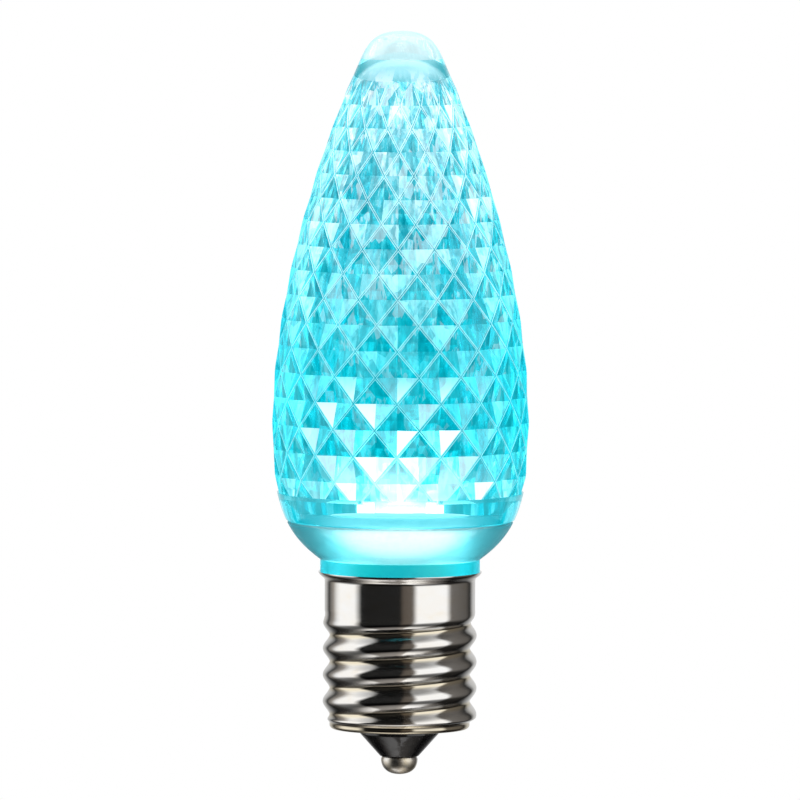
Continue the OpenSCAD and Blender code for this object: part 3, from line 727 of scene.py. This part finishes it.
def clear_lens(painted_light_stops=(), steady=False, edge=DEEP_RIM):
    """Clear turquoise plastic with painted light and shade: a base colour painted paler towards the tip, a painted
    glow, and painted light by height where stops for it are given.
    """
    def build(tree):
        flow = noise(tree, 260, 2.0, (1, 1, 0.5))
        height = height_factor(tree, 0, TIP)
        # Painted light in the base colour, graded by height: pale at the skirt and towards the tip, deep turquoise
        # between.
        tint = ramp(tree, height, [
            (27 / TIP, (0.34, 0.62, 0.67)), (29.2 / TIP, (0.34, 0.62, 0.67)), (30.6 / TIP, (0.06, 0.48, 0.52)),
            (40 / TIP, (0.03, 0.50, 0.54)), (48 / TIP, (0.06, 0.50, 0.54)), (57 / TIP, (0.13, 0.52, 0.57)),
            (67 / TIP, (0.27, 0.59, 0.63)), (75 / TIP, (0.66, 0.82, 0.85)), (76.8 / TIP, (0.62, 0.74, 0.76)), (1.0, (0.62, 0.74, 0.76))])
        # Painted glow: emission standing in for the LEDs' light in the plastic, strongest at the dome.
        painted_glow = ramp(tree, height, [
            (27 / TIP, (0.0, 0.12, 0.14)), (40 / TIP, (0.0, 0.16, 0.19)), (60 / TIP, (0.0, 0.12, 0.15)),
            (74 / TIP, (0.05, 0.14, 0.17)), (75.7 / TIP, (0.08, 0.18, 0.20)),
            (76.8 / TIP, (0.26, 0.40, 0.42)), (1.0, (0.36, 0.48, 0.50))])
        # Each face's random share of painted light and painted shade.
        painted_share = add(tree, "ShaderNodeAttribute", attribute_name="light_caught").outputs["Fac"]
        # Painted refraction: stretched cells and fine streaks standing in for the light and dark that the facets
        # refract.
        place = add(tree, "ShaderNodeTexCoord").outputs["Object"]
        place = add(tree, "ShaderNodeMapping", {"Vector": place, "Scale": (1, 1, 0.45)}).outputs["Vector"]
        painted_refraction = add(tree, "ShaderNodeTexVoronoi", {"Vector": place, "Scale": 1000.0}, distance="EUCLIDEAN")
        painted_refraction = add(tree, "ShaderNodeSeparateColor", {"Color": painted_refraction.outputs["Color"]}).outputs["Red"]
        fine = spread(tree, noise(tree, 2600, 2.0, (1, 1, 0.22)), 0.3, 0.7, -0.3, 0.3)
        painted_refraction = add(tree, "ShaderNodeMath", {0: painted_refraction, 1: fine}, operation="ADD").outputs[0]
        body = ramp(tree, height, [
            (30 / TIP, (0,) * 3), (31 / TIP, (1,) * 3), (74 / TIP, (1,) * 3), (75.5 / TIP, (0,) * 3)])
        # Painted shade in the darker cells, on the faceted body only.
        painted_refraction_shade = ramp(tree, painted_refraction, [
            (0.0, (0.06, 0.55, 0.60)), (0.3, (0.42, 0.82, 0.85)), (0.45, (1, 1, 1)), (1.0, (1, 1, 1))])
        painted_refraction_shade = blend(tree, body, (1, 1, 1, 1), painted_refraction_shade)
        tint = multiplied(tree, tint, painted_refraction_shade)
        # Facing mask for painted light: 1 where a face looks at the viewer.
        head_on = ramp(tree, facing(tree), [(0.08, (1,) * 3), (0.2, (0,) * 3)])
        if not painted_light_stops:
            # Painted shade: faces with a high random share are painted a deeper turquoise.
            shade = ramp(tree, painted_share, [(0.55, (1, 1, 1)), (0.75, (0.45, 0.86, 0.88)), (1.0, (0.2, 0.7, 0.74))])
            tint = multiplied(tree, tint, shade)
            # Painted highlights: pale light on some of the cells, rising with height, and painted LED light near the
            # post on faces that look at the viewer, on the faceted body only.
            pale = ramp(tree, height, [
                (30 / TIP, (0.03, 0.02, 0.02)), (38 / TIP, (0.06, 0.04, 0.04)), (48 / TIP, (0.16, 0.10, 0.09)),
                (57 / TIP, (0.26, 0.15, 0.13)), (70 / TIP, (0.34, 0.20, 0.17))])
            pale = multiplied(tree, pale, ramp(tree, painted_refraction, [(0.7, (0,) * 3), (0.8, (1,) * 3)]))
            painted_led_light = ramp(tree, height, [
                (28 / TIP, (0.2, 0.15, 0.15)), (31 / TIP, (0.5, 0.4, 0.4)), (33 / TIP, (0.4, 0.32, 0.32)),
                (35 / TIP, (0, 0, 0))])
            pale = multiplied(tree, body, summed(tree, pale, multiplied(tree, painted_led_light, head_on)))
            painted_glow = summed(tree, painted_glow, pale)
        if painted_light_stops:
            # Painted light by height, on the lit facets and ridge lands.
            lit = ramp(tree, height, [(z / TIP, colour) for z, colour in painted_light_stops])
            if not steady:
                # Painted streaks across the cells and each face's random share make the painted light uneven.
                painted_streaks = ramp(tree, painted_refraction, [(0.0, (0.45,) * 3), (0.4, (0.9,) * 3), (1.0, (1.25,) * 3)])
                share = ramp(tree, painted_share, [(0.0, (0.05,) * 3), (0.45, (0.4,) * 3), (1.0, (1.3,) * 3)])
                lit = multiplied(tree, lit, multiplied(tree, share, painted_streaks))
                # Painted LED light near the post, on facets that face the viewer.
                painted_led_light = ramp(tree, height, [
                    (31 / TIP, (0.8, 0.6, 0.6)), (36 / TIP, (1.0, 0.7, 0.7)), (40 / TIP, (0.8, 0.55, 0.55)),
                    (44 / TIP, (0, 0, 0))])
                painted_led_light = multiplied(tree, painted_led_light, head_on)
                painted_led_light = multiplied(tree, painted_led_light, ramp(tree, painted_share, [(0.1, (0.1,) * 3), (0.5, (1,) * 3)]))
                lit = summed(tree, lit, painted_led_light)
            painted_glow = summed(tree, painted_glow, lit)
        return {"Base Color": rim(tree, tint, edge), "Emission Color": rim(tree, painted_glow, edge),
                "Roughness": spread(tree, flow, 0.3, 0.7, 0.01, 0.03),
                "Normal": bump(tree, flow, 0.02)}
    return build


def roof_plastic(tree):
    """The roof of the hollow, with painted shade and a painted glow: a deep arch where it is seen edge on, pale under
    it.
    """
    flow = noise(tree, 400, 2.0)
    return {"Base Color": ramp(tree, facing(tree), [(0.42, (0.66, 0.82, 0.85)), (0.52, (0.0, 0.26, 0.30))]),
            "Emission Color": ramp(tree, facing(tree), [(0.42, (0.14, 0.24, 0.26)), (0.52, (0.0, 0.15, 0.18))]),
            "Roughness": spread(tree, flow, 0.3, 0.7, 0.01, 0.04),
            "Normal": bump(tree, flow, 0.01)}


def cup_plastic(tree):
    """Frosted outside, with a painted glow for the tube inside, lit white by the LEDs over it, and painted shade by
    facing and at the neck.
    """
    speckle = noise(tree, 1500, 4.0)
    place = add(tree, "ShaderNodeTexCoord").outputs["Object"]
    radius = distance_from_axis(tree)
    # Painted glow: the tube inside glows white round the axis, fading down towards the neck, and the neck glows
    # faintly turquoise.
    painted_glow = ramp(tree, spread(tree, radius, 6 * MM, 14 * MM, 0, 1), [
        (0.08, (1.0, 1.0, 1.0)), (0.10, (0.0, 0.02, 0.024)), (1.0, (0.0, 0.02, 0.024))])
    height = add(tree, "ShaderNodeSeparateXYZ", {"Vector": place}).outputs["Z"]
    depth = spread(tree, height, (NECK_TOP - 1) * MM, SEAT * MM, 0, 1)
    painted_glow = multiplied(tree, painted_glow, ramp(tree, depth, [
        (0.0, (0.02, 0.06, 0.06)), (0.19, (0.03, 0.08, 0.08)), (0.27, (0.25, 0.3, 0.3)), (0.38, (0.95, 0.92, 0.92))]))
    painted_glow = summed(tree, painted_glow, ramp(tree, depth, [(0.16, (0.0, 0.10, 0.115)), (0.2, (0, 0, 0))]))
    # Painted shade: pale where the wall faces the viewer, deep turquoise where it is seen at a slant.
    tint = ramp(tree, facing(tree), [(0.18, (0.74, 0.88, 0.90)), (0.32, (0.55, 0.78, 0.82)),
                               (0.46, (0.12, 0.58, 0.66)), (0.9, (0.05, 0.46, 0.54))])
    tint = multiplied(tree, tint, ramp(tree, speckle, [(0.35, (0.85, 0.92, 0.92)), (0.65, (1, 1, 1))]))
    tint = blend(tree, spread(tree, height, SEAM * MM, (SEAM + 0.1) * MM, 0, 1), tint, (0.7, 0.86, 0.88, 1))
    # Painted shade: a deep turquoise band at the neck.
    tint = multiplied(tree, tint, ramp(tree, depth, [(0.16, (0.02, 0.62, 0.68)), (0.22, (1, 1, 1))]))
    return {"Base Color": tint, "Emission Color": painted_glow,
            "Roughness": spread(tree, speckle, 0.35, 0.7, 0.32, 0.5),
            "Normal": bump(tree, speckle, 0.012)}


def lit_board(tree):
    """White solder mask with a painted glow, bright round the LEDs, fainter towards its edge and dimmer on its
    underside.
    """
    grain = noise(tree, 900, 4.0)
    radius = distance_from_axis(tree)
    painted_glow = ramp(tree, spread(tree, radius, 2 * MM, 8 * MM, 0, 1), [
        (0.0, (0.7, 0.75, 0.75)), (0.3, (0.7, 0.75, 0.75)), (0.4, (0.3, 0.35, 0.35)), (0.96, (0.2, 0.25, 0.25)),
        (1.0, (0.4, 0.45, 0.45))])
    height = height_factor(tree, LED_BASE - 1, LED_BASE)
    painted_glow = multiplied(tree, painted_glow, ramp(tree, height, [(0.0, (0.3,) * 3), (1.0, (1,) * 3)]))
    return {"Base Color": ramp(tree, grain, [(0.3, (0.80, 0.86, 0.86)), (0.7, (0.88, 0.93, 0.93))]),
            "Emission Color": painted_glow,
            "Roughness": spread(tree, grain, 0.3, 0.7, 0.35, 0.5),
            "Normal": bump(tree, grain, 0.01)}


def nickel_shell(tree):
    stain = noise(tree, 320, 5.0, (1, 1, 2))
    scratch = noise(tree, 900, 3.0, (1, 1, 14))
    tone = ramp(tree, stain, [(0.35, (0.94, 0.93, 0.91)), (0.6, (0.94, 0.91, 0.86)),
                              (0.8, (0.93, 0.86, 0.74))])
    gold = spread(tree, distance_from_axis(tree), (CREST_R - 0.5) * MM, (CREST_R - 0.7) * MM, 0, 0.7)
    tone = blend(tree, gold, tone, (0.86, 0.74, 0.50, 1))
    return {"Base Color": tone, "Roughness": spread(tree, scratch, 0.3, 0.75, 0.06, 0.15),
            "Normal": bump(tree, scratch, 0.003)}


def nickel_contact(tree):
    stain = noise(tree, 700, 4.0)
    tone = ramp(tree, stain, [(0.35, (0.93, 0.91, 0.87)), (0.7, (0.93, 0.82, 0.62))])
    return {"Base Color": tone, "Roughness": spread(tree, stain, 0.3, 0.7, 0.26, 0.42),
            "Normal": bump(tree, noise(tree, 1800, 3.0), 0.01)}


def black_insulator(tree):
    wave = noise(tree, 420, 2.0)
    tone = ramp(tree, noise(tree, 1500, 3.0), [(0.3, (0.006, 0.006, 0.007)),
                                                (0.75, (0.016, 0.015, 0.015))])
    return {"Base Color": tone, "Roughness": spread(tree, wave, 0.3, 0.7, 0.04, 0.12),
            "Normal": bump(tree, wave, 0.08)}


def moulded(dark, light, scale, rough_low, rough_high, depth=0.01):
    """A plain finish that varies a little in colour, roughness and relief."""
    def build(tree):
        grain = noise(tree, scale, 4.0)
        return {"Base Color": ramp(tree, grain, [(0.3, dark), (0.7, light)]),
                "Roughness": spread(tree, grain, 0.3, 0.7, rough_low, rough_high),
                "Normal": bump(tree, grain, depth)}
    return build


def led_body(tree):
    """Pale package, lit through by its own window."""
    grain = noise(tree, 2500, 3.0)
    return {"Base Color": ramp(tree, grain, [(0.3, (0.82, 0.95, 0.95)), (0.7, (0.9, 1.0, 1.0))]),
            "Emission Color": ramp(tree, grain, [(0.3, (0.8, 0.95, 0.97)), (0.7, (0.9, 1.0, 1.0))])}


def led_light(tree):
    """The window, brightest in the middle of its grain."""
    grain = noise(tree, 1800, 2.0)
    return {"Base Color": ramp(tree, grain, [(0.3, (0.85, 0.97, 0.97)), (0.7, (1.0, 1.0, 1.0))]),
            "Emission Color": ramp(tree, grain, [(0.3, (0.85, 1.0, 1.0)), (0.7, (1.0, 1.0, 1.0))])}


finishes = {
    "lens_plastic": finish("lens_plastic", clear_lens(), Transmission_Weight=1.0, IOR=1.49,
                           Specular_IOR_Level=0.1, Emission_Strength=1.0),
    "cup_plastic": finish("cup_plastic", cup_plastic, Transmission_Weight=1.0, IOR=1.49,
                          Specular_IOR_Level=0.3, Emission_Strength=2.0),
    "nickel_shell": finish("nickel_shell", nickel_shell, Metallic=1.0),
    "nickel_contact": finish("nickel_contact", nickel_contact, Metallic=1.0),
    "black_insulator": finish("black_insulator", black_insulator, IOR=1.6, Specular_IOR_Level=0.6),
    # The white board's finish, with its painted glow, also covers the post.
    "white_board": finish("white_board", lit_board, Emission_Strength=2.5),
    "led": finish("led", led_body, Roughness=0.3, Emission_Strength=4.0),
    "green_board": finish("green_board", moulded((0.03, 0.16, 0.07), (0.06, 0.26, 0.12), 1200, 0.3, 0.5)),
    "tinned_wire": finish("tinned_wire", moulded((0.60, 0.61, 0.62), (0.72, 0.73, 0.75), 1500, 0.2, 0.4),
                          Metallic=1.0),
    "black_package": finish("black_package", moulded((0.012, 0.012, 0.014), (0.03, 0.03, 0.034),
                                                     2500, 0.45, 0.65)),
    "capacitor_sleeve": finish("capacitor_sleeve", moulded((0.02, 0.05, 0.16), (0.03, 0.08, 0.22),
                                                           700, 0.25, 0.4)),
    "resistor_coat": finish("resistor_coat", moulded((0.50, 0.40, 0.26), (0.62, 0.50, 0.33),
                                                     900, 0.5, 0.7)),
}

# Lit facets: the lens finish with painted light by height, spread by each face's random share.
lit_facets = finish("lens_lit_facets", clear_lens((
    (30, (0.26, 0.36, 0.36)), (36, (0.06, 0.30, 0.32)), (44, (0.09, 0.32, 0.34)), (50, (0.26, 0.42, 0.42)),
    (57, (0.42, 0.46, 0.44)), (67, (0.56, 0.46, 0.43)), (75, (0.44, 0.36, 0.34)))),
    Transmission_Weight=1.0, IOR=1.49, Specular_IOR_Level=0.1, Emission_Strength=1.0)
# Ridge lands: the lens finish with painted light by height, even along the lands.
ridge_lands = finish("lens_ridge_lands", clear_lens((
    (30, (0.28, 0.32, 0.32)), (42, (0.18, 0.32, 0.33)), (52, (0.42, 0.42, 0.40)), (75, (0.52, 0.44, 0.42))), steady=True),
    Transmission_Weight=0.8, IOR=1.49, Specular_IOR_Level=0.5, Emission_Strength=1.0)
hollow_roof = finish("lens_hollow_roof", roof_plastic, Transmission_Weight=0.2, IOR=1.49,
                     Specular_IOR_Level=0.0, Emission_Strength=1.0)
# Thick dome: the lens finish's painted glow and colour, with the pale rim of painted shade.
thick_dome = finish("lens_thick_dome", clear_lens(edge=PALE_RIM), Transmission_Weight=0.42, IOR=1.49,
                    Specular_IOR_Level=0.5, Emission_Strength=1.0)
lit_window = finish("lit_window", led_light, Roughness=0.2, Emission_Strength=8.0)

for make in (faceted_lens, lower_cup, screw_shell, base_insulator, centre_contact, light_post):
    piece = make()
    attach(piece, "root")
    if not piece.data.materials:
        piece.data.materials.append(finishes[piece["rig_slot"]])
for piece in led_copies():
    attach(piece, "root")

shown = {sub["node"]: sub["material_slot"] for sub in frame["record"]["subparts"]}
for node_name, slot_name in shown.items():
    for material_slot in frame["nodes"][node_name].material_slots:
        material_slot.material = finishes[slot_name]

# Floor, light and camera

leave_nothing_selected()
bpy.ops.mesh.primitive_plane_add(size=6)
floor = name_piece(bpy.context.object, "floor")
floor_paint = bpy.data.materials.new("pale_floor")
floor_paint.use_nodes = True
tree = floor_paint.node_tree
rays = add(tree, "ShaderNodeLightPath").outputs
shaded = tree.nodes["Principled BSDF"]
shaded.inputs["Base Color"].default_value = (0.9, 0.9, 0.9, 1)
shaded.inputs["Roughness"].default_value = 0.6
white_light = add(tree, "ShaderNodeEmission", {"Color": (1, 1, 1, 1), "Strength": 1.0})
open_air = add(tree, "ShaderNodeBsdfTransparent")
seen_through = add(tree, "ShaderNodeMath", {0: rays["Is Glossy Ray"], 1: rays["Is Transmission Ray"]},
                   operation="MAXIMUM")
camera_view = add(tree, "ShaderNodeMixShader", {"Fac": rays["Is Camera Ray"],
                                                1: shaded.outputs[0], 2: white_light.outputs[0]})
floor_view = add(tree, "ShaderNodeMixShader", {"Fac": seen_through.outputs[0],
                                               1: camera_view.outputs[0], 2: open_air.outputs[0]})
tree.links.new(floor_view.outputs[0], tree.nodes["Material Output"].inputs["Surface"])
floor.data.materials.append(floor_paint)

world = bpy.data.worlds.new("studio")
bpy.context.scene.world = world
world.use_nodes = True
tree = world.node_tree
direction = add(tree, "ShaderNodeTexCoord").outputs["Generated"]
parts = add(tree, "ShaderNodeSeparateXYZ", {"Vector": direction}).outputs
minus_y = add(tree, "ShaderNodeMath", {0: parts["Y"], 1: -1.0}, operation="MULTIPLY").outputs[0]
azimuth = add(tree, "ShaderNodeMath", {0: parts["X"], 1: minus_y}, operation="ARCTAN2").outputs[0]
turn = spread(tree, azimuth, -math.pi, math.pi, 0.0, 1.0)


def at(degrees):
    return (degrees + 180) / 360


def grey(value, warmth=1.0):
    return (value, value * warmth, value * warmth * warmth)


def up(degrees):
    return (degrees + 90) / 180


elevation = add(tree, "ShaderNodeMath", {0: parts["Z"]}, operation="ARCSINE").outputs[0]
rise = spread(tree, elevation, -math.pi / 2, math.pi / 2, 0, 1)

# What mirror-like surfaces see: white soft boxes left and right, dark in front
ring = ramp(tree, turn, [(at(angle), grey(*tone)) for angle, tone in (
    (-180, (0.75,)), (-154, (0.45,)), (-140, (0.04,)), (-124, (0.3, 0.93)), (-112, (0.85,)), (-104, (1.0,)),
    (-74, (1.0,)), (-62, (0.012,)), (0, (0.014,)), (6, (0.10, 0.84)), (20, (0.12, 0.86)), (27, (1,)),
    (76, (1,)), (86, (0.15, 0.93)), (122, (0.10, 0.93)), (136, (0.02,)), (150, (0.5,)), (180, (0.75,)))])
box_height = ramp(tree, rise, [
    (0.0, grey(1)), (up(-72), grey(0.8)), (up(-56), grey(0.08)), (up(-44), grey(0.1)), (up(-30), grey(0.2)),
    (up(-12), grey(1)), (up(40), grey(1)),
    (up(62), grey(0.3)), (1.0, grey(0.25))])
ring = multiplied(tree, ring, box_height)
ring = summed(tree, ring, ramp(tree, rise, [
    (0.0, grey(0.35, 0.93)), (up(-66), grey(0.2, 0.93)), (up(-50), grey(0)), (1.0, grey(0))]))

# What clear surfaces see: pale panels round the horizon, dark above
sky = ramp(tree, rise, [
    (0.0, grey(0.7)), (up(-34), grey(0.3)), (up(-18), grey(0.9)), (up(-7), grey(1)), (up(-1), grey(1)),
    (up(4), grey(0.85)), (up(12), grey(0.4)), (up(26), grey(0.35)), (up(45), grey(0.9)), (1.0, grey(0.9))])
PANELS = 12
wave = add(tree, "ShaderNodeMath", {0: azimuth, 1: float(PANELS)}, operation="MULTIPLY").outputs[0]
wave = add(tree, "ShaderNodeMath", {0: wave}, operation="COSINE").outputs[0]
panels = ramp(tree, spread(tree, wave, -1, 1, 0, 1), [(0.3, grey(0.45)), (0.6, grey(1))])
sky = multiplied(tree, sky, panels)

rays = add(tree, "ShaderNodeLightPath").outputs
white = (1, 1, 1, 1)
plain = (0.8, 0.8, 0.8, 1)
light = blend(tree, rays["Is Glossy Ray"], plain, ring)
light = blend(tree, rays["Is Transmission Ray"], light, sky)
light = blend(tree, rays["Is Camera Ray"], light, white)
tree.links.new(light, tree.nodes["Background"].inputs["Color"])
tree.nodes["Background"].inputs["Strength"].default_value = 1.0

CAMERA_DISTANCE = 1.5
CAMERA_ELEVATION = math.radians(4)
CAMERA_ROLL = math.radians(0.21)
CAMERA_FOCAL = 634
CAMERA_AIM = Vector((-0.00007, 0, 0.03998))

camera = bpy.data.objects.new("camera", bpy.data.cameras.new("camera"))
bpy.context.collection.objects.link(camera)
camera.data.lens = CAMERA_FOCAL
camera.data.clip_end = 20
back = Vector((0, -math.cos(CAMERA_ELEVATION), math.sin(CAMERA_ELEVATION)))
camera.location = CAMERA_AIM + back * CAMERA_DISTANCE
camera.rotation_mode = "QUATERNION"
camera.rotation_quaternion = (-back).to_track_quat("-Z", "Y") @ Quaternion(UP, CAMERA_ROLL)
bpy.context.scene.camera = camera

bpy.context.scene.view_settings.view_transform = "Standard"
